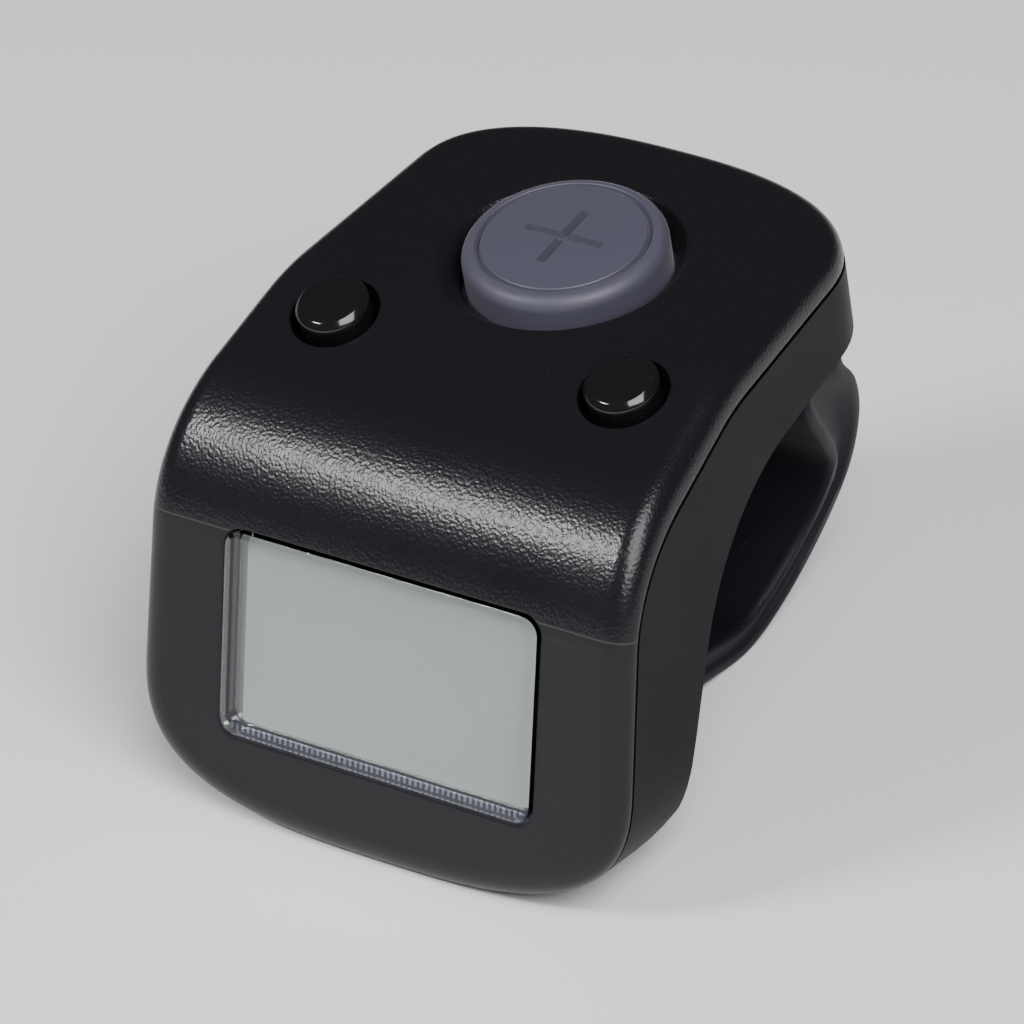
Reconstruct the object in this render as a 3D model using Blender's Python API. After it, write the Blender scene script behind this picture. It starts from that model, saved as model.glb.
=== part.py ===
"""Finger-ring tally counter: two-shell case with a display, three push buttons and a silicone ring.

The case is drawn in its own frame: X across the finger hole's axis, Y from the display to the rear,
Z along the count button's axis, with the middle of the window's top edge as origin. The empty
case_frame then leans the case forward so that its lower edge and the ring stand on Z = 0.
Lengths are in millimetres and go through MM into metres.
"""

import math

import bmesh
import bpy
from mathutils import Matrix, Vector

MM = 0.001

# Case outside
HALF_WIDTH = 14.0
NARROWING = 0.00518  # share of the width lost per millimetre of Y
FACE_ANGLE = math.radians(71.1)  # the display face, measured up from horizontal
DECK_ANGLE = math.radians(12.2)  # the sloping deck that carries the small buttons
REAR_ANGLE = math.radians(-3.0)  # the deck round the count button
FACE_BOTTOM = -15.7  # along the profile, from the window's top edge
BROW_START = -0.9
BROW_RADIUS = 9.2
SLOPE_LENGTH = 4.5
CREST_RADIUS = 12.0
REAR_REACH = 29.7
BELLY_Z = -0.2
ARCH_CENTRE = (17.0, -11.7)
ARCH_RADIUS = 11.5
ARCH_END = 150.0  # degrees round the arch at which its straight wall begins
HEEL = (3.0, -12.9)
FRONT_CORNER = (8.0, 2.9)  # length along the side, and squareness, of the lower corners
REAR_CORNER = (6.6, 2.5)
EDGE_ROUND = 1.5
RIM_DEPTH = 1.7
SKIN = 1.1
WALL = 1.2
SEAM = 0.12  # parting line between the two shells
SHAPE_STEPS = 7  # points per quarter turn of the case plan

# Fasteners: where each sits across and along its own frame
REAR_SCREW = (9.4, 21.8)
FRONT_SCREW = (11.5, -8.2)
DOOR_SCREW = (5.5, -5.0)
BOARD_POST = (6.0, 15.5)
SIDES = ((-1.0, "left"), (1.0, "right"))

# Window and display, in the display face's frame
WINDOW_HALF_WIDTH = 9.17
WINDOW_HEIGHT = 11.04
WINDOW_CORNER = 1.0
LENS_GAP = 0.12
GLASS_HALF_WIDTH = 9.75
GLASS_TOP = 0.7
GLASS_BOTTOM = -12.0
GLASS = 0.55
HOLDER_HALF_WIDTH = 10.2

# Buttons and their switches
COUNT_Y = 18.71
COUNT_RADIUS = 5.2
COUNT_TOP = 7.15
SMALL_BUTTON = (8.37, 10.4, 6.01)
SMALL_RADIUS = 1.9
SMALL_HOLE = 2.26
BOARD_TOP = 2.2
BOARD_THICKNESS = 0.6
SOLDER_GAP = 0.03  # what stands on the board stays this far off it

# Battery bay, in the door's frame: Y runs down the wall and Z points at the finger
DOOR_ANGLE = math.radians(240.0)
DOOR_HALF_WIDTH = 6.6
DOOR_TOP = -6.2
DOOR_BOTTOM = 6.5
DOOR_THICKNESS = 1.0
CELL_RADIUS = 5.8
CELL_THICKNESS = 2.05
CELL_Y = 0.3
CELL_Z = -2.18

# Ring slots
REAR_SLOT = (24.15, 25.45)
REAR_SLOT_HALF = 7.75
FRONT_SLOT_HALF = 6.35
SLOT_GAP = 0.15

# How the case stands
LEAN = math.radians(8.8)
STAND_Y = -14.352
STAND_Z = 15.686

BLACK = (0.012, 0.012, 0.013)
GLOSS_BLACK = (0.010, 0.010, 0.012)
SLATE = (0.13, 0.13, 0.17)
STEEL = (0.62, 0.62, 0.60)
CLEAR = (0.75, 0.78, 0.76)
DISPLAY_GREY = (0.46, 0.50, 0.46)
BOARD_GREEN = (0.02, 0.16, 0.07)
MOULDED = (0.03, 0.03, 0.03)
PLUNGER_RED = (0.50, 0.08, 0.06)


def clear_scene():
    for old in list(bpy.data.objects):
        bpy.data.objects.remove(old, do_unlink=True)


def frame(name, parent=None, origin=(0.0, 0.0, 0.0), angle=0.0):
    """An empty turned about X, whose children are drawn in its own axes."""
    empty = bpy.data.objects.new(name, None)
    bpy.context.collection.objects.link(empty)
    empty.parent = parent
    empty.location = Vector(origin) * MM
    empty.rotation_euler = (angle, 0.0, 0.0)
    return empty


def make(name, bm, parent, colour=None, roughness=0.5, metallic=0.0):
    """Turns a bmesh in millimetres into a named object; with no colour it is a hidden cutter."""
    bmesh.ops.recalc_face_normals(bm, faces=bm.faces)
    bmesh.ops.transform(bm, matrix=Matrix.Scale(MM, 4), verts=bm.verts)
    mesh = bpy.data.meshes.new(name)
    bm.to_mesh(mesh)
    bm.free()
    piece = bpy.data.objects.new(name, mesh)
    bpy.context.collection.objects.link(piece)
    piece.parent = parent
    if colour is None:
        piece.hide_render = True
        piece.display_type = "WIRE"
        return piece
    finish = bpy.data.materials.new(name + "_finish")
    finish.use_nodes = True
    shader = finish.node_tree.nodes["Principled BSDF"]
    shader.inputs["Base Color"].default_value = (*colour, 1.0)
    shader.inputs["Roughness"].default_value = roughness
    shader.inputs["Metallic"].default_value = metallic
    mesh.materials.append(finish)
    mesh.shade_smooth()
    mesh.set_sharp_from_angle(angle=math.radians(30.0))
    return piece


def join(target, operation, *tools):
    """Adds one exact Boolean per tool, in order."""
    for tool in tools:
        step = target.modifiers.new(tool.name, "BOOLEAN")
        step.operation = operation
        step.solver = "EXACT"
        step.object = tool
    return target


def loft(rings):
    """Closed skin through rings of equal length, capped at both ends."""
    bm = bmesh.new()
    loops = [[bm.verts.new(point) for point in ring] for ring in rings]
    for low, high in zip(loops, loops[1:]):
        for i in range(len(low)):
            j = (i + 1) % len(low)
            bm.faces.new((low[i], low[j], high[j], high[i]))
    bm.faces.new(loops[0])
    bm.faces.new(loops[-1])
    return bm


def box(x, y, z):
    """Block from three (low, high) pairs."""
    return loft([[(x[0], y[0], h), (x[1], y[0], h), (x[1], y[1], h), (x[0], y[1], h)] for h in z])


def turned(profile, sides=24, centre=(0.0, 0.0)):
    """Solid of revolution about the frame's Z, from (radius, height) pairs off the axis."""
    x, y = centre
    turn = [2.0 * math.pi * i / sides for i in range(sides)]
    return loft([[(x + r * math.cos(t), y + r * math.sin(t), height) for t in turn] for r, height in profile])


def rounded_plate(half_x, y, z, corner, steps=4):
    """Upright-edged plate with round corners, from y's low to its high and z's low to its high."""
    reach = half_x - corner
    low, high = y[0] + corner, y[1] - corner
    centres = [(reach, high), (-reach, high), (-reach, low), (reach, low)]
    outline = []
    for turn, centre in enumerate(centres):
        outline += arc(centre, corner, 90.0 * turn, 90.0 * (turn + 1), steps)
    return loft([[(px, py, h) for px, py in outline] for h in z])


def profile_point(s):
    """Point and outward normal (Y, Z) of the case's outside, at distance s along it."""
    y = BROW_START * math.cos(FACE_ANGLE)
    z = BROW_START * math.sin(FACE_ANGLE)
    angle = FACE_ANGLE
    left = s - BROW_START
    stretches = [
        (BROW_RADIUS * (FACE_ANGLE - DECK_ANGLE), BROW_RADIUS),
        (SLOPE_LENGTH, None),
        (CREST_RADIUS * (DECK_ANGLE - REAR_ANGLE), CREST_RADIUS),
    ]
    if left > 0.0:
        for length, radius in stretches:
            run = min(left, length)
            if radius is None:
                y += run * math.cos(angle)
                z += run * math.sin(angle)
            else:
                turned_to = angle - run / radius
                y += radius * (math.sin(angle) - math.sin(turned_to))
                z += radius * (math.cos(turned_to) - math.cos(angle))
                angle = turned_to
            left -= run
            if left <= 0.0:
                break
    y += left * math.cos(angle)
    z += left * math.sin(angle)
    return y, z, -math.sin(angle), math.cos(angle)


def depth_share(s):
    """The cover's rim is shallower down the display face, and grows to its full depth over the brow."""
    t = min(max((s + 1.0) / 10.0, 0.0), 1.0)
    return 0.70 + 0.35 * t * t * (3.0 - 2.0 * t)


def bend(x, s, depth):
    """Takes a point of the flat case plan to the curved case, and narrows it towards the rear."""
    y, z, ny, nz = profile_point(s)
    inward = depth * depth_share(s)
    y -= ny * inward
    z -= nz * inward
    return x * (1.0 - NARROWING * y), y, z


def rear_end():
    """Distance along the profile at which the deck reaches the rear edge."""
    on_deck = 25.0
    y, z, ny, nz = profile_point(on_deck)
    return on_deck + (REAR_REACH - y) / nz


def end_curve(inset, corner, end, side):
    """Round-cornered end of the case plan, as (x, along), from one straight side to the other."""
    length, squareness = corner
    points = []
    for i in range(2 * SHAPE_STEPS + 1):
        t = math.pi * i / (2 * SHAPE_STEPS)
        across = math.copysign(abs(math.cos(t)) ** (2.0 / squareness), math.cos(t))
        along = side * (length - inset) * math.sin(t) ** (2.0 / squareness)
        points.append((side * (HALF_WIDTH - inset) * across, end - side * length + along))
    return points


def plan_outline(inset):
    """Case plan laid flat as (x, s): straight sides and two round-cornered ends."""
    rear = end_curve(inset, REAR_CORNER, rear_end(), 1.0)
    return rear + end_curve(inset, FRONT_CORNER, FACE_BOTTOM, -1.0)


def bent_plate(rings):
    """Skin through flat (inset, depth) rings, cut into strips and bent along the profile."""
    bm = loft([[(x, s, depth) for x, s in plan_outline(inset)] for inset, depth in rings])
    brow_end = BROW_START + BROW_RADIUS * (FACE_ANGLE - DECK_ANGLE)
    crest = brow_end + SLOPE_LENGTH
    crest_end = crest + CREST_RADIUS * (DECK_ANGLE - REAR_ANGLE)
    cuts = [BROW_START + (brow_end - BROW_START) * i / 8 for i in range(9)]
    cuts += [crest + (crest_end - crest) * i / 3 for i in range(4)]
    for s in cuts:
        bmesh.ops.bisect_plane(
            bm,
            geom=bm.verts[:] + bm.edges[:] + bm.faces[:],
            plane_co=(0.0, s, 0.0),
            plane_no=(0.0, 1.0, 0.0),
        )
    for vert in bm.verts:
        vert.co = bend(*vert.co)
    bmesh.ops.triangulate(bm, faces=[f for f in bm.faces if len(f.verts) > 4])
    return bm


def side_prism(outline, half_width):
    """Solid with the given (Y, Z) side view, narrowed towards the rear like the case."""
    rings = []
    for side in (-1.0, 1.0):
        rings.append([(side * half_width * (1.0 - NARROWING * y), y, z) for y, z in outline])
    return loft(rings)


def strip(outline, half_width):
    """Solid with the given (Y, Z) side view and straight sides."""
    return loft([[(side * half_width, y, z) for y, z in outline] for side in (-1.0, 1.0)])


def arc(centre, radius, start, end, steps):
    turns = [math.radians(start + (end - start) * i / steps) for i in range(steps + 1)]
    return [(centre[0] + radius * math.cos(t), centre[1] + radius * math.sin(t)) for t in turns]


def inner_corner(point, normal_a, normal_b, inset):
    """Moves a corner inwards so that both its sides move by the inset."""
    cross = normal_a[0] * normal_b[1] - normal_a[1] * normal_b[0]
    y = point[0] + inset * (normal_b[1] - normal_a[1]) / cross
    z = point[1] + inset * (normal_a[0] - normal_b[0]) / cross
    return y, z


def shell_outline(inset, top_depth):
    """Side view of the inner shell: under the cover's rim, down the rear, round the arch."""
    stations = [FACE_BOTTOM + inset, -8.0]
    stations += [BROW_START + 1.05 * i for i in range(10)]
    stations += [13.0, 14.1, 15.2, 16.3, rear_end() - inset]
    outline = [bend(0.0, s, top_depth)[1:] for s in stations]
    outline.append((REAR_REACH - inset, BELLY_Z + inset))
    outline += arc(ARCH_CENTRE, ARCH_RADIUS + inset, 90.0, ARCH_END, 8)
    toe = bend(0.0, FACE_BOTTOM, top_depth)
    sole = math.atan2(HEEL[1] - toe[2], HEEL[0] - toe[1])
    wall_in = (math.cos(math.radians(ARCH_END)), math.sin(math.radians(ARCH_END)))
    sole_in = (-math.sin(sole), math.cos(sole))
    outline.append(inner_corner(HEEL, wall_in, sole_in, inset))
    return outline


def end_prism(inset, corner, end, side, to_case):
    """Prism over the plan of one end of the case, long enough to hold the rest of it."""
    outline = end_curve(inset, corner, end, side)
    far = end - side * 60.0
    outline += [(side * (inset - HALF_WIDTH), far), (side * (HALF_WIDTH - inset), far)]
    rings = []
    for height in (-45.0, 15.0):
        ring = [(x, *to_case(along, height)) for x, along in outline]
        rings.append([(x * (1.0 - NARROWING * y), y, z) for x, y, z in ring])
    return loft(rings)


def upright(along, height):
    return along, height


def on_face(along, height):
    """Display-face coordinates (up the face, out of it) to the case's (Y, Z)."""
    up = (math.cos(FACE_ANGLE), math.sin(FACE_ANGLE))
    return along * up[0] - height * up[1], along * up[1] + height * up[0]


def case_block(name, case, inset, top_depth):
    """The inner shell's outer form, or the same form drawn in by the wall for its hollow."""
    colour = BLACK if inset == 0.0 else None
    body = side_prism(shell_outline(inset, top_depth), HALF_WIDTH - inset)
    block = make(name, body, case, colour, 0.42)
    rear = end_prism(inset, REAR_CORNER, REAR_REACH, 1.0, upright)
    front = end_prism(inset, FRONT_CORNER, FACE_BOTTOM, -1.0, on_face)
    return join(
        block,
        "INTERSECT",
        make(name + "_rear_plan", rear, case),
        make(name + "_front_plan", front, case),
    )


def drill(name, parent, radius, z, centre=(0.0, 0.0), sides=20):
    """Round cutter, or round post to be joined on, along the frame's Z."""
    return make(name, turned([(radius, z[0]), (radius, z[1])], sides, centre), parent)


def mirrored(place, side):
    return side * place[0], place[1]


def build_top_cover(case, face, count, small_frames):
    """Outer shell: rounded edge, window, dished hole for the count button, screw bosses."""
    rings = [(0.0, RIM_DEPTH)]
    for i in range(5):
        t = math.pi / 2.0 * i / 4
        rings.append((EDGE_ROUND * (1.0 - math.cos(t)), EDGE_ROUND * (1.0 - math.sin(t))))
    cover = make("top_cover", bent_plate(rings), case, BLACK, 0.38)
    hollow = make("top_hollow", bent_plate([(WALL, 3.0), (WALL, SKIN)]), case)
    join(cover, "DIFFERENCE", hollow)
    join(cover, "UNION", drill("count_lip", count, 7.2, (4.4, 5.3), sides=32))
    for side, tag in SIDES:
        rear = mirrored(REAR_SCREW, side)
        front = mirrored(FRONT_SCREW, side)
        join(cover, "UNION", drill("rear_boss_" + tag, case, 1.5, (2.1, 5.2), rear, 16))
        join(cover, "UNION", drill("front_boss_" + tag, face, 1.1, (-4.2, -0.5), front, 16))
        join(cover, "DIFFERENCE", drill("rear_pilot_" + tag, case, 0.6, (1.0, 4.6), rear, 12))
        join(cover, "DIFFERENCE", drill("front_pilot_" + tag, face, 0.52, (-5.0, -1.6), front, 12))
    window = rounded_plate(WINDOW_HALF_WIDTH, (-WINDOW_HEIGHT, 0.0), (-3.0, 3.0), WINDOW_CORNER)
    dish = turned([(5.4, 3.0), (5.4, 5.2), (6.7, 6.6)], 32)
    join(cover, "DIFFERENCE", make("window_opening", window, face), make("count_dish", dish, count))
    for tag, place in small_frames.items():
        join(cover, "DIFFERENCE", drill(tag + "_hole", place, SMALL_HOLE, (-2.5, 1.5), sides=24))


def build_bottom_cover(case, face, door, sole):
    """Inner shell: arch over the finger, battery bay, slots for the ring, screw pillars."""
    shell = case_block("bottom_cover", case, 0.0, RIM_DEPTH + SEAM)
    hollow = case_block("shell_hollow", case, WALL, 0.4)
    solids = [
        make("bay_frame", box((-7.9, 7.9), (-6.8, 6.9), (-2.2, 0.9)), door),
        drill("door_screw_post", door, 1.2, (-3.0, 0.0), DOOR_SCREW, 14),
    ]
    holes = []
    for side, tag in SIDES:
        rear = mirrored(REAR_SCREW, side)
        front = mirrored(FRONT_SCREW, side)
        solids.append(drill("rear_pillar_" + tag, case, 1.8, (-1.0, 2.0), rear, 16))
        solids.append(drill("front_pillar_" + tag, face, 1.6, (-9.0, -4.3), front, 16))
        solids.append(drill("board_post_" + tag, case, 0.8, (-1.0, 1.55), mirrored(BOARD_POST, side), 10))
        holes.append(drill("rear_screw_hole_" + tag, case, 0.75, (0.5, 3.0), rear, 12))
        holes.append(drill("rear_head_recess_" + tag, case, 1.3, (-2.0, 0.95), rear, 16))
        holes.append(drill("front_screw_hole_" + tag, face, 0.6, (-9.0, -3.5), front, 12))
        holes.append(drill("front_head_recess_" + tag, face, 1.15, (-11.0, -6.05), front, 16))
    join(hollow, "DIFFERENCE", *solids)
    pocket_y = (DOOR_TOP - SLOT_GAP, DOOR_BOTTOM + SLOT_GAP)
    pocket = rounded_plate(DOOR_HALF_WIDTH + SLOT_GAP, pocket_y, (-1.1, 8.0), 1.0)
    rear_slot = box((-REAR_SLOT_HALF, REAR_SLOT_HALF), REAR_SLOT, (-1.0, 1.6))
    front_slot = box((-FRONT_SLOT_HALF, FRONT_SLOT_HALF), (-0.57, 0.57), (-0.6, 1.6))
    holes += [
        make("door_pocket", pocket, door),
        drill("cell_hole", door, CELL_RADIUS + 0.2, (-7.0, -0.9), (0.0, CELL_Y), 32),
        drill("door_pilot", door, 0.6, (-2.8, -0.5), DOOR_SCREW, 12),
        make("rear_slot", rear_slot, case),
        make("front_slot", front_slot, sole),
    ]
    join(shell, "DIFFERENCE", hollow, *holes)


def build_display(face):
    """Window lens, the two glasses of the display, their holder, contact strip and board."""
    edge = WINDOW_HALF_WIDTH - LENS_GAP
    window = rounded_plate(edge, (LENS_GAP - WINDOW_HEIGHT, -LENS_GAP), (-1.0, 0.25), 0.9)
    lens = make("display_lens", window, face, CLEAR, 0.06)
    flange = rounded_plate(9.9, (-11.6, 0.3), (-1.2, -0.92), 0.8)
    join(lens, "UNION", make("lens_flange", flange, face))
    glass = (-GLASS_HALF_WIDTH, GLASS_HALF_WIDTH)
    front_low = -1.3 - GLASS
    rear_top = front_low - 0.05
    front = box(glass, (GLASS_BOTTOM, GLASS_TOP), (front_low, -1.3))
    make("lcd_front_glass", front, face, DISPLAY_GREY, 0.15)
    rear = box(glass, (GLASS_BOTTOM + 1.3, GLASS_TOP), (rear_top - GLASS, rear_top))
    make("lcd_rear_glass", rear, face, DISPLAY_GREY, 0.3)
    across = (-HOLDER_HALF_WIDTH, HOLDER_HALF_WIDTH)
    holder = make("lcd_holder", box(across, (-12.4, 1.1), (-3.0, -1.3)), face, MOULDED, 0.6)
    opening = box((-GLASS_HALF_WIDTH - 0.1, GLASS_HALF_WIDTH + 0.1), (-12.1, 0.8), (-4.0, 0.0))
    join(holder, "DIFFERENCE", make("holder_opening", opening, face))
    strip_block = box((-9.3, 9.3), (-11.65, -10.8), (-3.02, -1.92))
    make("zebra_strip", strip_block, face, (0.22, 0.20, 0.24), 0.8)
    make("display_board", box(across, (-11.7, 2.4), (-3.7, -3.1)), face, BOARD_GREEN, 0.5)


def build_boards(case, face):
    """Main board with its parts, and the flat ribbon that joins it to the display board."""
    wide, narrow = 10.6, 7.1
    front, step, rear = 9.0, 13.3, 23.2
    tee = [(-wide, front), (wide, front), (wide, step), (narrow, step), (narrow, rear)]
    tee += [(-narrow, rear), (-narrow, step), (-wide, step)]
    board = loft([[(x, y, z) for x, y in tee] for z in (BOARD_TOP - BOARD_THICKNESS, BOARD_TOP)])
    make("main_board", board, case, BOARD_GREEN, 0.5)
    blob = turned([(2.3, 2.23), (2.2, 2.6), (1.6, 2.95), (0.5, 3.1)], 16, (-2.2, 10.9))
    make("chip_coating", blob, case, (0.015, 0.015, 0.015), 0.3)
    crystal = make("clock_crystal", turned([(0.65, -2.2), (0.65, 2.2)], 12), case, STEEL, 0.25, 1.0)
    crystal.location = Vector((4.0, 11.0, BOARD_TOP + 0.72)) * MM
    crystal.rotation_euler = (math.radians(90.0), 0.0, 0.0)
    for i, x in enumerate((-5.2, 5.2)):
        block = box((x - 0.8, x + 0.8), (21.4, 22.3), (BOARD_TOP + SOLDER_GAP, BOARD_TOP + 0.75))
        make(f"capacitor_{i + 1}", block, case, (0.45, 0.34, 0.22), 0.6)
    build_ribbon(case)


def build_ribbon(case):
    """From flat under the main board it bends down behind the display board."""
    bend_centre = (5.70, -0.24)
    bend_radius, half_thickness = 1.65, 0.06
    flat_end, tail = 10.5, 0.9
    start = math.degrees(FACE_ANGLE) + 90.0
    outer = arc(bend_centre, bend_radius + half_thickness, start, 90.0, 5)
    inner = arc(bend_centre, bend_radius - half_thickness, 90.0, start, 5)
    drop = (tail * math.cos(FACE_ANGLE), tail * math.sin(FACE_ANGLE))
    outline = [(outer[0][0] - drop[0], outer[0][1] - drop[1]), *outer, (flat_end, outer[-1][1])]
    outline += [(flat_end, inner[0][1]), *inner, (inner[-1][0] - drop[0], inner[-1][1] - drop[1])]
    make("board_ribbon", strip(outline, 4.0), case, (0.55, 0.28, 0.08), 0.4)


def build_switch(tag, parent, half, height, well, plunger):
    """Click switch on the board: square housing with a well, and the plunger that stands in it."""
    foot = BOARD_TOP + SOLDER_GAP
    housing = box((-half, half), (-half, half), (foot, foot + height))
    switch = make(tag + "_switch", housing, parent, MOULDED, 0.5)
    join(switch, "DIFFERENCE", drill(tag + "_switch_well", parent, well[0], (well[1], 4.0), sides=16))
    radius, low, high = plunger
    make(tag + "_switch_plunger", turned([(radius, low), (radius, high)], 16), parent, PLUNGER_RED, 0.5)


def build_count_button(count):
    """Silicone cap over its switch; the frame's Z is the pressing axis."""
    stem, flange = 0.8, 6.1
    cap = [(stem, 3.72), (stem, 3.9), (flange, 3.9), (flange, 4.3), (COUNT_RADIUS, 4.3)]
    cap += [(COUNT_RADIUS, 6.3), (5.1, 6.75), (4.85, 7.02), (4.5, COUNT_TOP)]
    make("count_button", turned(cap, 32), count, SLATE, 0.6)
    build_switch("count", count, 2.6, 1.05, (1.05, 2.5), (0.95, 2.95, 3.68))


def build_small_button(tag, case, place, x):
    """Glossy cap on the sloping deck, and the switch on the board under it."""
    stem, flange = 0.75, 2.5
    cap = [(stem, -2.3), (stem, -1.75), (flange, -1.75), (flange, -1.45), (SMALL_RADIUS, -1.45)]
    cap += [(SMALL_RADIUS, 0.5), (1.85, 0.66), (1.5, 0.9)]
    make(tag + "_button", turned(cap, 24), place, GLOSS_BLACK, 0.15)
    below = SMALL_BUTTON[1] + 3.0 * math.tan(DECK_ANGLE)
    seat = frame(tag + "_switch_frame", case, (x, below, 0.0))
    build_switch(tag, seat, 1.7, 0.87, (0.85, 2.4), (0.7, 2.85, 3.5))


def build_battery(face, door):
    """Button cell, its two spring contacts, and the door that closes the bay."""
    low = CELL_Z - CELL_THICKNESS / 2.0
    high = CELL_Z + CELL_THICKNESS / 2.0
    cell = [(CELL_RADIUS - 1.0, low), (CELL_RADIUS - 0.9, low + 0.25), (CELL_RADIUS, low + 0.3)]
    cell += [(CELL_RADIUS, high - 0.15), (CELL_RADIUS - 0.15, high)]
    make("button_cell", turned(cell, 32, (0.0, CELL_Y)), door, STEEL, 0.25, 1.0)
    leaf = [(0.2, -3.78), (-1.0, -3.78), (-2.9, -5.07), (-4.0, -4.67)]
    back = [(y, z - 0.16) for y, z in reversed(leaf)]
    make("cell_contact_negative", strip(leaf + back, 1.5), face, STEEL, 0.3, 1.0)
    clip = [(5.98, -3.78), (8.2, -3.78), (8.2, -3.98), (6.18, -3.98), (6.18, -5.9), (5.98, -5.9)]
    bracket = loft([[(x, y, z) for x, z in clip] for y in (-4.6, -2.6)])
    make("cell_contact_positive", bracket, face, STEEL, 0.3, 1.0)
    panel = rounded_plate(DOOR_HALF_WIDTH, (DOOR_TOP, DOOR_BOTTOM), (-DOOR_THICKNESS, 0.0), 0.85)
    panel = make("battery_door", panel, door, BLACK, 0.42)
    recess = turned([(0.65, -2.0), (0.65, -0.55), (1.1, -0.55), (1.1, 0.5)], 16, DOOR_SCREW)
    join(panel, "DIFFERENCE", make("door_screw_recess", recess, door))


def build_screw(name, parent, centre, head, shank):
    """Slotted self-tapping screw along the frame's Z: head is (radius, under, top), shank (radius, tip)."""
    radius, under, top = head
    profile = [(shank[0], shank[1]), (shank[0], under), (radius, under), (radius, top)]
    screw = make(name, turned(profile, 14), parent, STEEL, 0.3, 1.0)
    screw.location = Vector((*centre, 0.0)) * MM
    slot_depth, slot_half = 0.25, 0.14
    outward = math.copysign(1.0, top - under)
    ends = sorted((top - slot_depth * outward, top + 2.0 * slot_depth * outward))
    slot = make(name + "_slot", box((-2.0, 2.0), (-slot_half, slot_half), ends), parent)
    slot.location = screw.location
    join(screw, "DIFFERENCE", slot)


def smooth_run(points, steps):
    """Catmull-Rom curve through rows of numbers, from the first row to the last."""
    ends = [points[0], *points, points[-1]]
    run = []
    for a, b, c, d in zip(ends, ends[1:], ends[2:], ends[3:]):
        for i in range(steps):
            t = i / steps
            row = []
            for p, q, r, s in zip(a, b, c, d):
                bend_in = (2 * p - 5 * q + 4 * r - s) * t**2
                bend_out = (3 * q - p - 3 * r + s) * t**3
                row.append(0.5 * (2 * q + (r - p) * t + bend_in + bend_out))
            run.append(tuple(row))
    run.append(points[-1])
    return run


def tee(name, parent, stem, head, half_width):
    """Cross-section of a ring's end: a stem (half, from, to) through the slot and a head behind it."""
    half, foot, neck = stem
    head_half, head_top, middle = head
    outline = [(middle - half, foot), (middle + half, foot), (middle + half, neck)]
    outline += [(middle + head_half, neck), (middle + head_half, head_top)]
    outline += [(middle - head_half, head_top), (middle - head_half, neck), (middle - half, neck)]
    return make(name, strip(outline, half_width), parent)


def build_ring(case, sole):
    """Silicone strap: each row is outer Y, Z, inner Y, Z and half width, rear end first."""
    stations = [
        (25.9, -0.40, 22.4, -0.40, 10.8),
        (26.6, -3.3, 22.9, -4.2, 10.2),
        (28.6, -6.1, 24.9, -7.7, 9.5),
        (29.7, -9.4, 26.6, -10.6, 8.7),
        (29.5, -13.0, 26.6, -13.0, 7.8),
        (27.4, -16.1, 25.1, -15.1, 7.0),
        (23.9, -18.3, 22.6, -16.6, 6.5),
        (20.2, -19.0, 20.0, -17.1, 6.3),
        (15.1, -17.6, 15.6, -15.7, 6.4),
        (8.5, -15.9, 9.0, -14.3, 6.8),
        (0.6, -14.9, 2.6, -13.35, 7.0),
    ]
    bevel = 0.45
    rings = []
    for outer_y, outer_z, inner_y, inner_z, half in smooth_run(stations, 3):
        share = bevel / math.hypot(outer_y - inner_y, outer_z - inner_z)
        near = [(half - bevel, 0.0), (half, share), (half, 1.0 - share), (half - bevel, 1.0)]
        far = [(-x, t) for x, t in reversed(near)]
        rings.append(
            [(x, outer_y + (inner_y - outer_y) * t, outer_z + (inner_z - outer_z) * t) for x, t in near + far]
        )
    ring = make("finger_ring", loft(rings), case, SLATE, 0.7)
    slot_middle = sum(REAR_SLOT) / 2.0
    rear_half = REAR_SLOT_HALF - SLOT_GAP
    rear_tee = tee("ring_rear_tee", case, (0.5, -1.2, 1.15), (1.4, 2.3, slot_middle), rear_half)
    front_half = FRONT_SLOT_HALF - SLOT_GAP
    front_tee = tee("ring_front_tee", sole, (0.42, -0.7, 1.5), (0.9, 1.98, 0.0), front_half)
    join(ring, "UNION", rear_tee, front_tee)


def wall_tangent(degrees):
    """Point (X, Y, Z) of the arch's wall at this angle round its centre."""
    turn = math.radians(degrees)
    y = ARCH_CENTRE[0] + ARCH_RADIUS * math.cos(turn)
    z = ARCH_CENTRE[1] + ARCH_RADIUS * math.sin(turn)
    return 0.0, y, z


def main():
    clear_scene()
    case = frame("case_frame", None, (0.0, STAND_Y, STAND_Z), LEAN)
    face = frame("face_frame", case, angle=FACE_ANGLE)
    count = frame("count_frame", case, (0.0, COUNT_Y, 0.0))
    x, y, z = SMALL_BUTTON
    across = {"reset": -x, "mode": x}
    small = {tag: frame(tag + "_frame", case, (px, y, z), DECK_ANGLE) for tag, px in across.items()}
    door = frame("door_frame", case, wall_tangent(ARCH_END), DOOR_ANGLE)
    toe = bend(0.0, FACE_BOTTOM, RIM_DEPTH + SEAM)
    slope = math.atan2(HEEL[1] - toe[2], HEEL[0] - toe[1])
    slot_back = 1.6
    slot_place = (0.0, HEEL[0] - slot_back, HEEL[1] - slot_back * math.tan(slope))
    sole = frame("sole_frame", case, slot_place, slope)

    build_top_cover(case, face, count, small)
    build_bottom_cover(case, face, door, sole)
    build_display(face)
    build_boards(case, face)
    build_count_button(count)
    for tag, place in small.items():
        build_small_button(tag, case, place, across[tag])
    build_battery(face, door)
    for i, (side, tag) in enumerate(SIDES):
        rear = mirrored(REAR_SCREW, side)
        front = mirrored(FRONT_SCREW, side)
        build_screw(f"case_screw_{i + 1}", case, rear, (1.15, 0.85, -0.1), (0.52, 4.4))
        build_screw(f"case_screw_{i + 3}", face, front, (1.0, -6.1, -7.0), (0.45, -1.9))
    build_screw("battery_door_screw", door, DOOR_SCREW, (0.95, -0.5, -0.02), (0.5, -2.7))
    build_ring(case, sole)


main()
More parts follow.
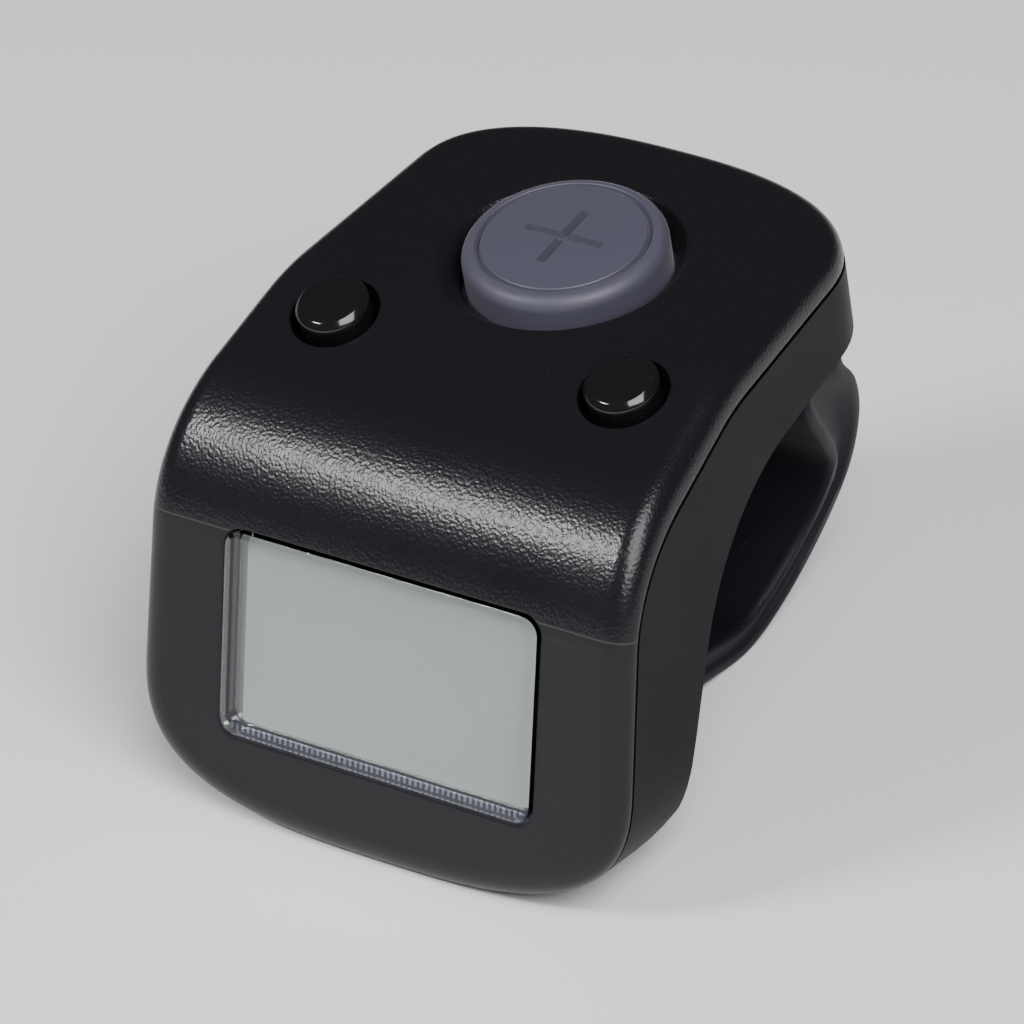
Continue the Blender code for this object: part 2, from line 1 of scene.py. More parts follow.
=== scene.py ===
"""Looks of the finger-ring tally counter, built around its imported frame.

Each piece is modelled in millimetres in the axes of the part that holds it (the case, the display
face, a button), then its mesh is put in place in the frame's metres.
"""

import math

import bpy
from mathutils import Matrix, Vector


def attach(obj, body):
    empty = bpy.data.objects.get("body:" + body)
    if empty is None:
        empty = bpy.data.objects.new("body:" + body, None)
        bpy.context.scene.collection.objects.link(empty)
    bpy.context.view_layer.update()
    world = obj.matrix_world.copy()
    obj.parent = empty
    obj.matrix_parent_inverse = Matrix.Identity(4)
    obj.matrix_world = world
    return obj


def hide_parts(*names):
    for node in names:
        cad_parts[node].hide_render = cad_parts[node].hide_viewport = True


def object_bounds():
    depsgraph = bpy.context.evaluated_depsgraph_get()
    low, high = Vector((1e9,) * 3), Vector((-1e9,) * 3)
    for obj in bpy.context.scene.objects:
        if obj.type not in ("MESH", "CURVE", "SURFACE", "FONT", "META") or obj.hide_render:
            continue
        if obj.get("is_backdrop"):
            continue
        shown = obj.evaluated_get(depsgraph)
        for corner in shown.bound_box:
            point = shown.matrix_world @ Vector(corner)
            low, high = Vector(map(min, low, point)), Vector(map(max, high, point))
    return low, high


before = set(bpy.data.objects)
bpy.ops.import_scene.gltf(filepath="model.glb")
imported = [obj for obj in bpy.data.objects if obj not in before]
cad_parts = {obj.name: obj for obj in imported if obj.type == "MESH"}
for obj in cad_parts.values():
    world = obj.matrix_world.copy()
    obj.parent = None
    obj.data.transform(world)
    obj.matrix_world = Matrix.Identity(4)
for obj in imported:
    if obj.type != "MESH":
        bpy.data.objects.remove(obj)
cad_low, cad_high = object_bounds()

# Top cover: the outer shell, injection-moulded in black ABS. Its outside is spark-eroded to a fine
# grain over the deck and the brow, and stays satin on the display face below a witness line. It has
# a generous round edge, a window, a dished hole for the count button and two plain button holes.

# The case's axes are X across, Y from the display to the rear and Z out of the count button, from the
# middle of the window's top edge. The case stands leaning forward on its lower edge, and the display
# face and the sloping deck are turned about X inside it.
LEAN = math.radians(8.8)
FACE_ANGLE = math.radians(71.1)
DECK_ANGLE = math.radians(12.2)
REAR_ANGLE = math.radians(-3.0)
STAND = (0.0, -0.014352, 0.015686)
CASE = Matrix.Translation(STAND) @ Matrix.Rotation(LEAN, 4, "X") @ Matrix.Scale(0.001, 4)
FACE = CASE @ Matrix.Rotation(FACE_ANGLE, 4, "X")

HALF_WIDTH = 14.0
NARROWING = 0.00518
FACE_BOTTOM = -15.7
BROW_START = -0.9
BROW_RADIUS = 9.2
SLOPE_LENGTH = 4.5
CREST_RADIUS = 12.0
REAR_REACH = 29.7
FRONT_CORNER = (8.0, 2.9)
REAR_CORNER = (6.6, 2.5)
EDGE_ROUND = 1.5
EDGE_BREAK = 0.12
RIM_DEPTH = 1.7
SKIN = 1.1
WALL = 1.2
PLAN_POINTS = 176
BROW_LENGTH = BROW_RADIUS * (FACE_ANGLE - DECK_ANGLE)
CREST_START = BROW_START + BROW_LENGTH + SLOPE_LENGTH
CREST_LENGTH = CREST_RADIUS * (DECK_ANGLE - REAR_ANGLE)
STRETCHES = ((BROW_LENGTH, BROW_RADIUS), (SLOPE_LENGTH, None), (CREST_LENGTH, CREST_RADIUS))
REAR_SCREW = (9.4, 21.8)
FRONT_SCREW = (11.5, -8.2)
COUNT_Y = 18.71
SMALL_BUTTON = (8.37, 10.4, 6.01)
COUNT = CASE @ Matrix.Translation((0.0, COUNT_Y, 0.0))

# The rim is shallower on the display face than on the deck, and grows over the brow.
FACE_RIM = 0.70
RIM_GROWTH = 0.35
GROWTH_START = -1.0
GROWTH_LENGTH = 10.0


def outside_point(s):
    """Point and outward normal (Y, Z) of the case, at distance s up the face and back over the deck."""
    y = BROW_START * math.cos(FACE_ANGLE)
    z = BROW_START * math.sin(FACE_ANGLE)
    angle = FACE_ANGLE
    left = s - BROW_START
    for length, radius in STRETCHES:
        if left <= 0.0:
            break
        run = min(left, length)
        if radius is None:
            y += run * math.cos(angle)
            z += run * math.sin(angle)
        else:
            ahead = angle - run / radius
            y += radius * (math.sin(angle) - math.sin(ahead))
            z += radius * (math.cos(ahead) - math.cos(angle))
            angle = ahead
        left -= run
    y += left * math.cos(angle)
    z += left * math.sin(angle)
    return y, z, -math.sin(angle), math.cos(angle)


def over_case(point):
    """Bends a point (across, along, height) of the flat plan over the case, and narrows it rearwards."""
    y, z, out_y, out_z = outside_point(point[1])
    share = min(max((point[1] - GROWTH_START) / GROWTH_LENGTH, 0.0), 1.0)
    height = point[2] * (FACE_RIM + RIM_GROWTH * share * share * (3.0 - 2.0 * share))
    y += out_y * height
    z += out_z * height
    return point[0] * (1.0 - NARROWING * y), y, z


def rear_end():
    """Distance along the outside at which the plan ends, so that the case reaches REAR_REACH."""
    on_deck = 25.0
    y, z, out_y, out_z = outside_point(on_deck)
    return on_deck + (REAR_REACH - y) / out_z


def plan_point(turn, inset, rear, front):
    """Point of the case's plan at this turn: straight sides, and bowed ends with square-round corners."""
    if turn < math.pi:
        end, side, (length, squareness) = rear, 1.0, REAR_CORNER
    else:
        end, side, (length, squareness) = front, -1.0, FRONT_CORNER
    across = math.copysign(abs(math.cos(turn)) ** (2.0 / squareness), math.cos(turn))
    along = abs(math.sin(turn)) ** (2.0 / squareness)
    return (HALF_WIDTH - inset) * across, end - side * length + side * (length - inset) * along


def alone(piece):
    """Makes the piece the only one selected, and the active one."""
    bpy.ops.object.select_all(action="DESELECT")
    piece.select_set(True)
    bpy.context.view_layer.objects.active = piece


def added(name):
    """Names the primitive that was just added, and puts its place into its mesh."""
    piece = bpy.context.object
    piece.name = name
    alone(piece)
    bpy.ops.object.transform_apply(location=True, rotation=True, scale=True)
    return piece


def slide(piece, rule):
    """Moves each vertex to where the rule puts it."""
    for vertex in piece.data.vertices:
        vertex.co = rule(vertex.co)
    piece.data.update()
    return piece


def nothing_picked(piece, select_mode):
    """Gives the piece's mesh with nothing in it selected, ready to select edges or faces."""
    alone(piece)
    bpy.context.tool_settings.mesh_select_mode = select_mode
    for group in (piece.data.vertices, piece.data.edges, piece.data.polygons):
        group.foreach_set("select", [False] * len(group))
    return piece.data


def pick_edges(piece, wanted):
    """Opens the piece in edit mode with those edges selected whose two ends pass the test."""
    mesh = nothing_picked(piece, (False, True, False))
    for edge in mesh.edges:
        ends = [mesh.vertices[i].co for i in edge.vertices]
        edge.select = bool(wanted(*ends))
    bpy.ops.object.mode_set(mode="EDIT")


def pick_faces(piece, wanted=lambda centre, normal: True):
    """Opens the piece in edit mode with those faces selected whose centre and normal pass the test."""
    mesh = nothing_picked(piece, (False, False, True))
    for face in mesh.polygons:
        face.select = bool(wanted(face.center, face.normal))
    bpy.ops.object.mode_set(mode="EDIT")


def facing_up(centre, normal):
    """True for a face that looks along Z."""
    return normal.z > 0.9


def ends_above(level):
    """Test for an edge whose two ends lie above the level."""
    return lambda a, b: a.z > level and b.z > level


def upright(a, b):
    """True for an edge that runs along Z."""
    return abs(a.x - b.x) < 1e-4 and abs(a.y - b.y) < 1e-4


def done():
    """Leaves edit mode."""
    bpy.ops.object.mode_set(mode="OBJECT")


def extrude_up(height):
    """Extrudes what is selected along Z."""
    bpy.ops.mesh.extrude_region_move(TRANSFORM_OT_translate={"value": (0.0, 0.0, height)})


def bevel_edges(piece, wanted, width, segments):
    """Rounds the edges that pass the test."""
    pick_edges(piece, wanted)
    bpy.ops.mesh.bevel(offset=width, segments=segments, profile=0.5, affect="EDGES", clamp_overlap=True)
    done()


def apply_modifier(piece, kind, **settings):
    """Adds a modifier with these settings and applies it."""
    alone(piece)
    modifier = piece.modifiers.new(kind.lower(), kind)
    for name, value in settings.items():
        setattr(modifier, name, value)
    bpy.ops.object.modifier_apply(modifier=modifier.name)


def boolean(piece, operation, *tools):
    """Cuts, joins or intersects the piece with each tool in turn, and throws the tool away.

    Corners that a cut leaves almost in one place are merged, so that the next cut stays clean.
    """
    for tool in tools:
        apply_modifier(piece, "BOOLEAN", operation=operation, solver="EXACT", object=tool)
        pick_faces(piece)
        bpy.ops.mesh.remove_doubles(threshold=0.0008)
        done()
        bpy.data.objects.remove(tool, do_unlink=True)
    return piece


def plate(name, inset, top, bottom):
    """Flat plate with the case's plan, drawn in by the inset: X across, Y along the outside, Z height."""
    middle = (top + bottom) / 2.0
    bpy.ops.mesh.primitive_cylinder_add(
        vertices=PLAN_POINTS, radius=1.0, depth=top - bottom, location=(0.0, 0.0, middle)
    )
    piece = added(name)
    rear = rear_end()

    def on_plan(co):
        turn = math.atan2(co.y, co.x) % (2.0 * math.pi)
        return (*plan_point(turn, inset, rear, FACE_BOTTOM), co.z)

    return slide(piece, on_plan)


def cut_strips(piece, places):
    """Cuts the flat plate across, so that it can be bent there."""
    for place in places:
        pick_faces(piece)
        bpy.ops.mesh.bisect(plane_co=(0.0, place, 0.0), plane_no=(0.0, 1.0, 0.0))
        done()


def strip_places(brow_steps, crest_steps):
    """Distances along the outside at which a plate is cut: closely where it bends, rarely elsewhere."""
    places = [BROW_START + BROW_LENGTH * i / brow_steps for i in range(brow_steps + 1)]
    places += [CREST_START + CREST_LENGTH * i / crest_steps for i in range(crest_steps + 1)]
    return places + [-12.0, -8.0, -4.5, 20.0, 24.0, 28.0]


def round_tool(name, levels, centre=(0.0, 0.0), sides=72):
    """Turned cutter or post: a cylinder drawn up through (radius, height) levels."""
    (radius, low), (second, height) = levels[0], levels[1]
    bpy.ops.mesh.primitive_cylinder_add(
        vertices=sides, radius=radius, depth=height - low, location=(*centre, (low + height) / 2.0)
    )
    tool = added(name)
    pick_faces(tool, facing_up)
    share = second / radius
    bpy.ops.transform.resize(value=(share, share, 1.0), center_override=(*centre, height))
    for (before, z), (after, above) in zip(levels[1:], levels[2:]):
        extrude_up(above - z)
        share = after / before
        bpy.ops.transform.resize(value=(share, share, 1.0), center_override=(*centre, above))
    done()
    return tool


def post(name, radius, low, high, centre=(0.0, 0.0), sides=32):
    """Plain round post or drill."""
    return round_tool(name, [(radius, low), (radius, high)], centre, sides)


def block(name, x, y, z):
    """Block from three (low, high) pairs."""
    middle = [(low + high) / 2.0 for low, high in (x, y, z)]
    bpy.ops.mesh.primitive_cube_add(size=1.0, location=middle)
    bpy.context.object.scale = [high - low for low, high in (x, y, z)]
    return added(name)


def on_side(place, side):
    """The place's own point on the left half (side -1) or the right half (side 1)."""
    return place[0] * side, place[1]


def into(piece, matrix):
    """Moves a tool from the axes it was drawn in to the case's axes."""
    piece.data.transform(CASE.inverted() @ matrix)
    return piece


cover = plate("top_shell", 0.0, 0.0, -RIM_DEPTH)
bevel_edges(cover, ends_above(-0.01), EDGE_ROUND, 9)
bevel_edges(cover, lambda a, b: a.z < 0.01 - RIM_DEPTH and b.z < 0.01 - RIM_DEPTH, EDGE_BREAK, 2)
cut_strips(cover, strip_places(26, 8))
slide(cover, over_case)

# The hollow is cut across at other places than the cover, so that no two of their edges coincide.
hollow = plate("cover_hollow", WALL, -SKIN, -3.0)
cut_strips(hollow, [place + 0.17 for place in strip_places(12, 4)])
boolean(cover, "DIFFERENCE", slide(hollow, over_case))
boolean(cover, "UNION", into(post("count_lip", 7.2, 4.4, 5.3, sides=72), COUNT))
for side in (-1.0, 1.0):
    rear = on_side(REAR_SCREW, side)
    front = on_side(FRONT_SCREW, side)
    boolean(cover, "UNION", post("rear_boss", 1.5, 2.1, 5.2, rear))
    boolean(cover, "UNION", into(post("front_boss", 1.1, -4.2, -0.5, front), FACE))
    boolean(cover, "DIFFERENCE", post("rear_pilot", 0.6, 1.0, 4.6, rear, 24))
    boolean(cover, "DIFFERENCE", into(post("front_pilot", 0.52, -5.0, -1.6, front, 24), FACE))

# The window flares in two steps at its front, as a moulded edge does.
WINDOW_HALF = 9.17
WINDOW_HEIGHT = 11.04
FLARE = 0.16
window = block("window", (-WINDOW_HALF, WINDOW_HALF), (-WINDOW_HEIGHT, 0.0), (-3.0, -FLARE))
bevel_edges(window, upright, 1.0, 8)
pick_faces(window, facing_up)
for share in (0.25, 1.0):
    extrude_up(FLARE / 2.0)
    bpy.ops.transform.resize(
        value=(1.0 + FLARE * share / WINDOW_HALF, 1.0 + 2.0 * FLARE * share / WINDOW_HEIGHT, 1.0),
        center_override=(0.0, -WINDOW_HEIGHT / 2.0, 0.0),
    )
extrude_up(2.0)
done()
dish = [(5.4, 3.0), (5.4, 5.15), (5.55, 5.4), (6.0, 5.85), (6.45, 6.25), (7.0, 6.62)]
boolean(cover, "DIFFERENCE", into(window, FACE), into(round_tool("dish", dish, sides=120), COUNT))
small_frames = {}
for tag, side in (("reset", -1.0), ("mode", 1.0)):
    place = Matrix.Translation((SMALL_BUTTON[0] * side, SMALL_BUTTON[1], SMALL_BUTTON[2]))
    small_frames[tag] = CASE @ place @ Matrix.Rotation(DECK_ANGLE, 4, "X")
    hole = [(2.26, -2.5), (2.26, -0.16), (2.30, -0.06), (2.42, 0.02), (3.0, 0.4)]
    boolean(cover, "DIFFERENCE", into(round_tool("hole", hole), small_frames[tag]))


def new_group(name, inputs, outputs):
    """Empty shader group with (name, kind, value) inputs and (name, kind) outputs."""
    tree = bpy.data.node_groups.new(name, "ShaderNodeTree")
    for label, kind, value in inputs:
        socket = tree.interface.new_socket(label, in_out="INPUT", socket_type="NodeSocket" + kind)
        socket.default_value = value
    for label, kind in outputs:
        tree.interface.new_socket(label, in_out="OUTPUT", socket_type="NodeSocket" + kind)
    return tree, tree.nodes.new("NodeGroupInput"), tree.nodes.new("NodeGroupOutput")


def add_node(tree, kind, values=None, **settings):
    """Adds a node, and sets or links its inputs: a value that is a socket is linked."""
    node = tree.nodes.new("ShaderNode" + kind)
    for name, value in settings.items():
        setattr(node, name, value)
    for socket, value in (values or {}).items():
        if isinstance(value, bpy.types.NodeSocket):
            tree.links.new(value, node.inputs[socket])
        else:
            node.inputs[socket].default_value = value
    return node


def noise(tree, place, scale, detail, roughness=0.5):
    """Soft random pattern over the places, about 0.5 in the middle."""
    values = {"Vector": place, "Scale": scale, "Detail": detail, "Roughness": roughness}
    return add_node(tree, "TexNoise", values).outputs["Fac"]


def ramp(tree, value, start, end, low=0.0, high=1.0):
    """Turns a value that runs from start to end into one that runs from low to high."""
    spans = {"Value": value, "From Min": start, "From Max": end, "To Min": low, "To Max": high}
    return add_node(tree, "MapRange", spans).outputs["Result"]


def maths(tree, operation, *values, clamp=False):
    """Result of one operation on numbers or sockets."""
    node = add_node(tree, "Math", dict(enumerate(values)), operation=operation, use_clamp=clamp)
    return node.outputs[0]


def blend(tree, share, first, second, kind="MIX"):
    """Colour that goes from the first to the second as the share goes from 0 to 1."""
    mix = add_node(tree, "Mix", {0: share, 6: first, 7: second}, data_type="RGBA", blend_type=kind)
    return mix.outputs[2]


def moulded_group():
    """Grain of a spark-eroded mould, the slight patchiness of moulded gloss, and fine pale dust."""
    tree, start, end = new_group(
        "moulded_surface",
        [
            ("Colour", "Color", (0.03, 0.03, 0.03, 1.0)),
            ("Roughness", "Float", 0.4),
            ("Grain Scale", "Float", 5000.0),
            ("Grain Depth", "Float", 0.2),
            ("Dust", "Float", 0.1),
        ],
        [("Colour", "Color"), ("Roughness", "Float"), ("Normal", "Vector")],
    )
    place = add_node(tree, "TexCoord").outputs["Object"]
    grain = noise(tree, place, start.outputs["Grain Scale"], 0.6)
    depth = start.outputs["Grain Depth"]
    bump = add_node(tree, "Bump", {"Strength": depth, "Distance": 0.00005, "Height": grain})
    swing = ramp(tree, noise(tree, place, 260.0, 4.0), 0.3, 0.7, -0.02, 0.02)
    rough = maths(tree, "ADD", start.outputs["Roughness"], swing, clamp=True)
    motes = add_node(tree, "TexVoronoi", {"Vector": place, "Scale": 1500.0, "Randomness": 1.0})
    away = ramp(tree, motes.outputs["Distance"], 0.05, 0.11)
    amount = maths(tree, "MULTIPLY", maths(tree, "SUBTRACT", 1.0, away), start.outputs["Dust"])
    dusted = blend(tree, amount, start.outputs["Colour"], (0.35, 0.34, 0.33, 1.0))
    tree.links.new(dusted, end.inputs["Colour"])
    tree.links.new(rough, end.inputs["Roughness"])
    tree.links.new(bump.outputs["Normal"], end.inputs["Normal"])
    return tree


MOULDED = moulded_group()


def new_material(name):
    """Material with its node tree and its main shader."""
    material = bpy.data.materials.new(name)
    material.use_nodes = True
    tree = material.node_tree
    return material, tree, tree.nodes["Principled BSDF"]


def surfaced(name, surface, values):
    """Material whose colour, roughness and normal come from a surface group with its own values."""
    material, tree, shader = new_material(name)
    group = tree.nodes.new("ShaderNodeGroup")
    group.node_tree = surface
    for label, value in values.items():
        group.inputs[label].default_value = value
    for output, socket in (("Colour", "Base Color"), ("Roughness", "Roughness"), ("Normal", "Normal")):
        tree.links.new(group.outputs[output], shader.inputs[socket])
    return material, tree, shader, group


def moulded(name, colour, roughness, scale, depth, dust=0.1):
    """Material of a moulded piece, with its grain's scale and depth and its share of dust."""
    values = {
        "Colour": (*colour, 1.0),
        "Roughness": roughness,
        "Grain Scale": scale,
        "Grain Depth": depth,
        "Dust": dust,
    }
    return surfaced(name, MOULDED, values)


def face_place(tree):
    """Place on the display face in metres: X across and Y up, from the window's top edge."""
    place = add_node(tree, "TexCoord").outputs["Object"]
    turned = add_node(tree, "Mapping", {"Vector": place}, vector_type="TEXTURE")
    turned.inputs["Location"].default_value = STAND
    turned.inputs["Rotation"].default_value = (LEAN + FACE_ANGLE, 0.0, 0.0)
    parts = add_node(tree, "SeparateXYZ", {0: turned.outputs[0]})
    return parts.outputs["X"], parts.outputs["Y"]


# The witness line is a fine paler line, where the mould's grain stops and the satin face starts.
WITNESS = -0.0002
cover_finish, tree, shader, group = moulded(
    "cover_grained_abs", (0.0082, 0.0080, 0.0098), 0.42, 6200.0, 0.5, 0.02
)
shader.inputs["Specular IOR Level"].default_value = 0.28
height = face_place(tree)[1]
grained = ramp(tree, height, WITNESS, WITNESS + 0.0002)
tree.links.new(ramp(tree, grained, 0.0, 1.0, 0.12, 0.42), group.inputs["Grain Depth"])
tree.links.new(ramp(tree, grained, 0.0, 1.0, 0.36, 0.26), group.inputs["Roughness"])
off_line = maths(tree, "ABSOLUTE", maths(tree, "SUBTRACT", height, WITNESS))
line = ramp(tree, off_line, 0.00002, 0.00007, 1.0, 0.0)
pale = blend(tree, line, group.outputs["Colour"], (0.035, 0.035, 0.036, 1.0))
tree.links.new(pale, shader.inputs["Base Color"])


def seat(piece, matrix, material, body, node, smooth=35.0, even=True):
    """Puts the mesh in place, shades it, gives it its material, ties the piece to its body and hides its CAD
    node.
    """
    piece.data.transform(matrix)
    alone(piece)
    bpy.ops.object.shade_smooth_by_angle(angle=math.radians(smooth))
    if even:
        apply_modifier(piece, "WEIGHTED_NORMAL", keep_sharp=True, weight=50)
    piece.data.materials.clear()
    piece.data.materials.append(material)
    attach(piece, body)
    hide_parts(node)
    return piece


seat(cover, CASE, cover_finish, "case", "top_cover")


# Bottom cover: the inner shell, moulded in plain matte black ABS. Its flat sides show below the
# cover's rim, its arch sits on the finger, and it is hollowed for the boards and the battery. The
# edge where the arch meets the sides is slightly rounded.
BELLY_Z = -0.2
ARCH_CENTRE = (17.0, -11.7)
ARCH_RADIUS = 11.5
ARCH_END = math.radians(150.0)
HEEL = (3.0, -12.9)
SEAM = 0.16
DOOR_ANGLE = math.radians(240.0)
DOOR_HALF = 6.6
DOOR_Y = (-6.2, 6.5)
DOOR_GAP = 0.15
DOOR_SCREW = (5.5, -5.0)
WALL_POINT = (
    0.0,
    ARCH_CENTRE[0] + ARCH_RADIUS * math.cos(ARCH_END),
    ARCH_CENTRE[1] + ARCH_RADIUS * math.sin(ARCH_END),
)
DOOR = CASE @ Matrix.Translation(WALL_POINT) @ Matrix.Rotation(DOOR_ANGLE, 4, "X")
SOLE_SETBACK = 1.6
toe = over_case((0.0, FACE_BOTTOM, -RIM_DEPTH - SEAM))
SOLE_ANGLE = math.atan2(HEEL[1] - toe[2], HEEL[0] - toe[1])
SOLE = (
    CASE
    @ Matrix.Translation((0.0, HEEL[0] - SOLE_SETBACK, HEEL[1] - SOLE_SETBACK * math.tan(SOLE_ANGLE)))
    @ Matrix.Rotation(SOLE_ANGLE, 4, "X")
)


def drawn_in(point, normal_a, normal_b, inset):
    """Moves a corner inwards so that both its sides move by the inset."""
    cross = normal_a[0] * normal_b[1] - normal_a[1] * normal_b[0]
    y = point[0] + inset * (normal_b[1] - normal_a[1]) / cross
    z = point[1] + inset * (normal_a[0] - normal_b[0]) / cross
    return y, z


def side_view(inset, top):
    """Outline of the inner shell from the side: under the rim, down the rear and round the arch."""
    along = [FACE_BOTTOM + inset, -8.0]
    along += [BROW_START + BROW_LENGTH * i / 24 for i in range(25)]
    along += [CREST_START + CREST_LENGTH * i / 8 for i in range(9)] + [rear_end() - inset]
    points = [over_case((0.0, s, -top))[1:] for s in along]
    points.append((REAR_REACH - inset, BELLY_Z + inset))
    for i in range(33):
        turn = math.pi / 2.0 + (ARCH_END - math.pi / 2.0) * i / 32
        points.append(
            (
                ARCH_CENTRE[0] + (ARCH_RADIUS + inset) * math.cos(turn),
                ARCH_CENTRE[1] + (ARCH_RADIUS + inset) * math.sin(turn),
            )
        )
    wall_in = (math.cos(ARCH_END), math.sin(ARCH_END))
    sole_in = (-math.sin(SOLE_ANGLE), math.cos(SOLE_ANGLE))
    points.append(drawn_in(HEEL, wall_in, sole_in, inset))
    return points


def extruded(name, outline, low, high):
    """Prism over an outline in its own X and Y, from one height to the other."""
    bpy.ops.mesh.primitive_circle_add(vertices=len(outline), radius=1.0, fill_type="NGON")
    piece = added(name)
    for vertex, (x, y) in zip(piece.data.vertices, outline):
        vertex.co = (x, y, low)
    pick_faces(piece)
    extrude_up(high - low)
    bpy.ops.mesh.select_all(action="SELECT")
    bpy.ops.mesh.normals_make_consistent(inside=False)
    done()
    return piece


def taper(co):
    """Narrows the case's width towards the rear."""
    return co.x * (1.0 - NARROWING * co.y), co.y, co.z


# Turns a prism over a side view, drawn in (Y, Z), so that it runs along X.
SIDE_AXES = Matrix(((0.0, 0.0, 1.0, 0.0), (1.0, 0.0, 0.0, 0.0), (0.0, 1.0, 0.0, 0.0), (0.0, 0.0, 0.0, 1.0)))


def end_outline(inset, rear):
    """Plan of the case's rear or front end, and far past its other end."""
    steps = 40
    sliver = 1e-6
    first = 0.0 if rear else math.pi
    turns = [first + sliver + (math.pi - 2.0 * sliver) * i / steps for i in range(steps + 1)]
    points = [plan_point(turn, inset, REAR_REACH, FACE_BOTTOM) for turn in turns]
    far = REAR_REACH - 60.0 if rear else FACE_BOTTOM + 60.0
    half = HALF_WIDTH - inset
    side = 1.0 if rear else -1.0
    return points + [(-side * half, far), (side * half, far)]


def shell_form(name, inset, top):
    """Side view and the two end plans, intersected: the inner shell's solid outer form."""
    half = HALF_WIDTH - inset
    piece = extruded(name, side_view(inset, top), -half, half)
    piece.data.transform(SIDE_AXES)
    slide(piece, taper)
    rear = extruded("rear_plan", end_outline(inset, True), -45.0, 15.0)
    front = extruded("front_plan", end_outline(inset, False), -45.0, 15.0)
    boolean(piece, "INTERSECT", slide(rear, taper), slide(into(front, FACE), taper))
    return piece


shell = shell_form("inner_shell", 0.0, RIM_DEPTH + SEAM)
apply_modifier(
    shell, "BEVEL", width=0.28, segments=3, limit_method="ANGLE", angle_limit=math.radians(40.0)
)
hollow = shell_form("shell_hollow", WALL, 0.4)
boolean(hollow, "DIFFERENCE", into(block("bay_frame", (-7.9, 7.9), (-6.8, 6.9), (-2.2, 0.9)), DOOR))
boolean(hollow, "DIFFERENCE", into(post("door_post", 1.2, -3.0, 0.0, DOOR_SCREW), DOOR))
cuts = []
for side in (-1.0, 1.0):
    rear = on_side(REAR_SCREW, side)
    front = on_side(FRONT_SCREW, side)
    rear_recess = [(1.45, -2.0), (1.45, -0.2), (1.3, -0.05), (1.3, 0.95)]
    boolean(hollow, "DIFFERENCE", post("rear_pillar", 1.8, -1.0, 2.0, rear))
    boolean(hollow, "DIFFERENCE", into(post("front_pillar", 1.6, -9.0, -4.3, front), FACE))
    boolean(hollow, "DIFFERENCE", post("board_post", 0.8, -1.0, 1.55, (6.0 * side, 15.5), 24))
    cuts.append(post("rear_screw_hole", 0.75, 0.5, 3.0, rear))
    cuts.append(round_tool("rear_recess", rear_recess, rear, 40))
    cuts.append(into(post("front_screw_hole", 0.6, -9.0, -3.5, front), FACE))
    cuts.append(into(post("front_recess", 1.15, -11.0, -6.05, front, 40), FACE))
pocket = block(
    "door_pocket",
    (-DOOR_HALF - DOOR_GAP, DOOR_HALF + DOOR_GAP),
    (DOOR_Y[0] - DOOR_GAP, DOOR_Y[1] + DOOR_GAP),
    (-1.1, 8.0),
)
bevel_edges(pocket, upright, 1.0, 6)
cuts.append(into(pocket, DOOR))
cuts.append(into(post("cell_hole", 6.0, -7.0, -0.9, (0.0, 0.3), 72), DOOR))
cuts.append(into(post("door_pilot", 0.6, -2.8, -0.5, DOOR_SCREW, 24), DOOR))
cuts.append(block("rear_slot", (-7.75, 7.75), (24.15, 25.45), (-1.0, 1.6)))
cuts.append(into(block("front_slot", (-6.35, 6.35), (-0.57, 0.57), (-0.6, 1.6)), SOLE))
boolean(shell, "DIFFERENCE", hollow, *cuts)
shell_finish, _, shader, _ = moulded(
    "shell_matte_abs", (0.0030, 0.0030, 0.0038), 0.48, 7000.0, 0.15, 0.02
)
shader.inputs["Specular IOR Level"].default_value = 0.10
seat(shell, CASE, shell_finish, "case", "bottom_cover")


# Display: a clear acrylic lens stands just proud of the window and is held by a flange behind it.
# Under it lie the liquid-crystal cell's front glass with its grey-green polariser, the rear glass,
# and a striped contact strip in a black moulded frame. The cell is blank, as when it is switched off.
lens = block("lens", (-9.05, 9.05), (-10.92, -0.12), (-1.0, 0.02))
bevel_edges(lens, upright, 0.9, 8)
pick_faces(lens, facing_up)
extrude_up(0.04)
bpy.ops.mesh.inset(thickness=0.30, depth=0.18)
done()
flange = block("lens_flange", (-9.9, 9.9), (-11.6, 0.3), (-1.2, -0.92))
bevel_edges(flange, upright, 0.8, 6)
boolean(lens, "UNION", flange)


def clear_material(name, colour, roughness, index):
    """Clear moulding that lets light through to what lies behind it, with faint rubbing on its gloss."""
    material, tree, shader = new_material(name)
    shader.inputs["Base Color"].default_value = (*colour, 1.0)
    shader.inputs["IOR"].default_value = index
    shader.inputs["Transmission Weight"].default_value = 1.0
    place = add_node(tree, "TexCoord").outputs["Object"]
    rub = noise(tree, place, 700.0, 5.0, 0.7)
    haze = ramp(tree, rub, 0.45, 0.75, roughness, roughness + 0.04)
    tree.links.new(haze, shader.inputs["Roughness"])
    through = add_node(tree, "BsdfTransparent", {"Color": (*colour, 1.0)})
    shadow = add_node(tree, "LightPath").outputs["Is Shadow Ray"]
    mix = add_node(tree, "MixShader", {0: shadow, 1: shader.outputs[0], 2: through.outputs[0]})
    tree.links.new(mix.outputs[0], tree.nodes["Material Output"].inputs["Surface"])
    return material


acrylic = clear_material("clear_acrylic", (0.97, 0.985, 0.98), 0.015, 1.49)
seat(lens, FACE, acrylic, "case", "display_lens")
